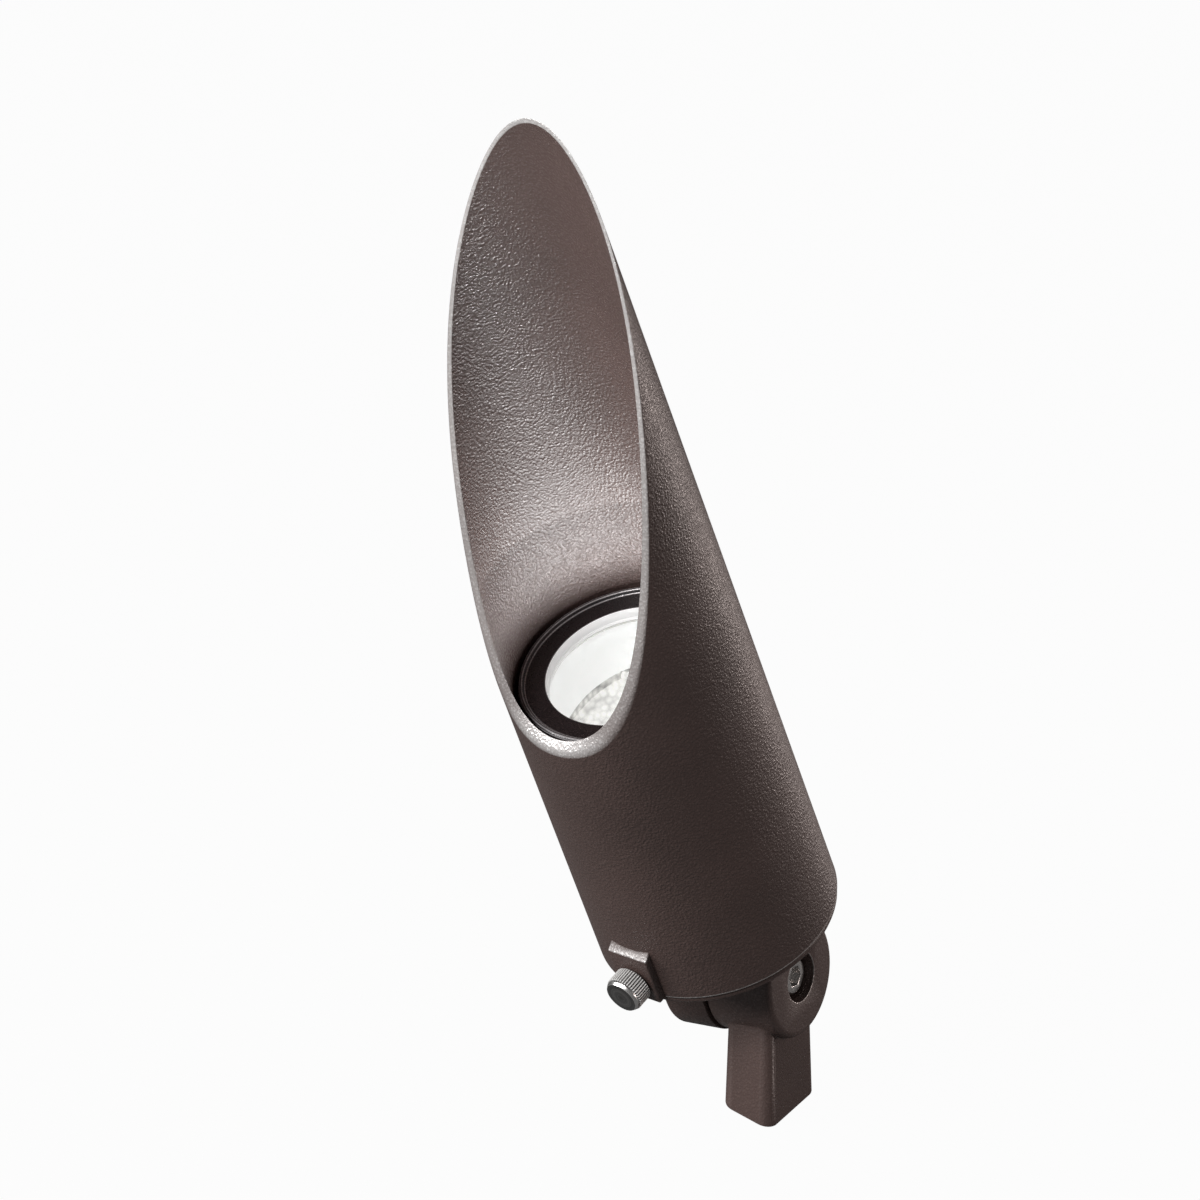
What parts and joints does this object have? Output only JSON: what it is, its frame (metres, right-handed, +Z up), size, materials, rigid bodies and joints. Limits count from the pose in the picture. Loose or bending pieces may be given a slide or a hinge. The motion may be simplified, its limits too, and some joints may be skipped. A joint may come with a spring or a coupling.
{
  "type": "landscape spotlight",
  "caption": "Outdoor accent light: a lamp head in a slant-cut tubular shroud with a thumbscrew, on a single-sided knuckle and short stem with a pipe thread",
  "frame": {"origin": "on the stem's axis, at the mouth (lower end) of its thread", "axes": "+Z up along the stem, +X along the knuckle's pivot towards the screw's head, -Y the side the head leans to and the shroud opens to"},
  "size_m": [0.064, 0.1258, 0.2809],
  "materials": {
    "bronze": "cast aluminium under a textured dark bronze powder coat",
    "black_ring": "aluminium under a satin black coat",
    "stainless": "turned stainless steel",
    "brass": "machined brass",
    "nylon": "natural nylon",
    "rubber": "black silicone rubber",
    "glass": "clear domed glass",
    "lamp_metal": "die-cast lamp heat sink",
    "board": "white circuit board",
    "optic": "clear moulded optic",
    "ceramic": "white ceramic",
    "lead_black": "black insulation",
    "lead_white": "white insulation"
  },
  "bodies": {
    "stem": {"stem": "bronze", "thread_bush": "brass", "friction_washer": "nylon", "flat_washer": "stainless", "spring_washer": "stainless"},
    "head": {"end_cap": "bronze", "cap_seal": "rubber", "cap_screws": "stainless", "grommet": "rubber", "housing": "bronze", "lens_ring": "black_ring", "lens_gasket": "rubber", "lens": "glass", "lens_clip": "stainless", "lamp_cushion": "rubber", "lamp_body": "lamp_metal", "lamp_board": "board", "lamp_optic": "optic", "lamp_pins": "brass", "lamp_socket": "ceramic", "socket_bracket": "stainless", "socket_screws": "stainless", "bracket_screws": "stainless", "left_lead": "lead_black", "right_lead": "lead_white"},
    "pivot_screw": {"pivot_screw": "stainless"},
    "glides": {"lower_glide": "nylon", "upper_glide": "nylon"},
    "shroud": {"shroud": "bronze"},
    "lock_tip": {"lock_tip": "nylon"},
    "lock_screw": {"lock_screw": "stainless"}
  },
  "joints": [
    {"name": "head_tilt", "type": "hinge", "parent": "stem", "child": "head", "pos_m": [-0.0091, 0, 0.0295], "axis": [1, 0, 0], "range_deg": [-120.9, 59.1]},
    {"name": "pivot_screw_turn", "type": "hinge", "parent": "head", "child": "pivot_screw", "pos_m": [-0.0091, 0, 0.0295], "axis": [1, 0, 0], "range_deg": [0, 180]},
    {"name": "shroud_turn", "type": "hinge", "parent": "head", "child": "glides", "pos_m": [-0.0091, 0, 0.0295], "axis": [0, -0.5135, 0.8581], "continuous": true},
    {"name": "shroud_lift", "type": "slide", "parent": "glides", "child": "shroud", "axis": [0, -0.5135, 0.8581], "range_m": [0, 0.065]},
    {"name": "lock_travel", "type": "slide", "parent": "shroud", "child": "lock_tip", "axis": [-0.165, -0.8463, -0.5065], "range_m": [-0.0002, 0.002]},
    {"name": "lock_turn", "type": "hinge", "parent": "lock_tip", "child": "lock_screw", "pos_m": [-0.0091, -0.01397, 0.05284], "axis": [-0.165, -0.8463, -0.5065], "range_deg": [-91, 901]}
  ],
  "couplings": [
    {"joint": "lock_turn", "follows": "lock_travel", "rad_per_m": 7854}
  ]
}
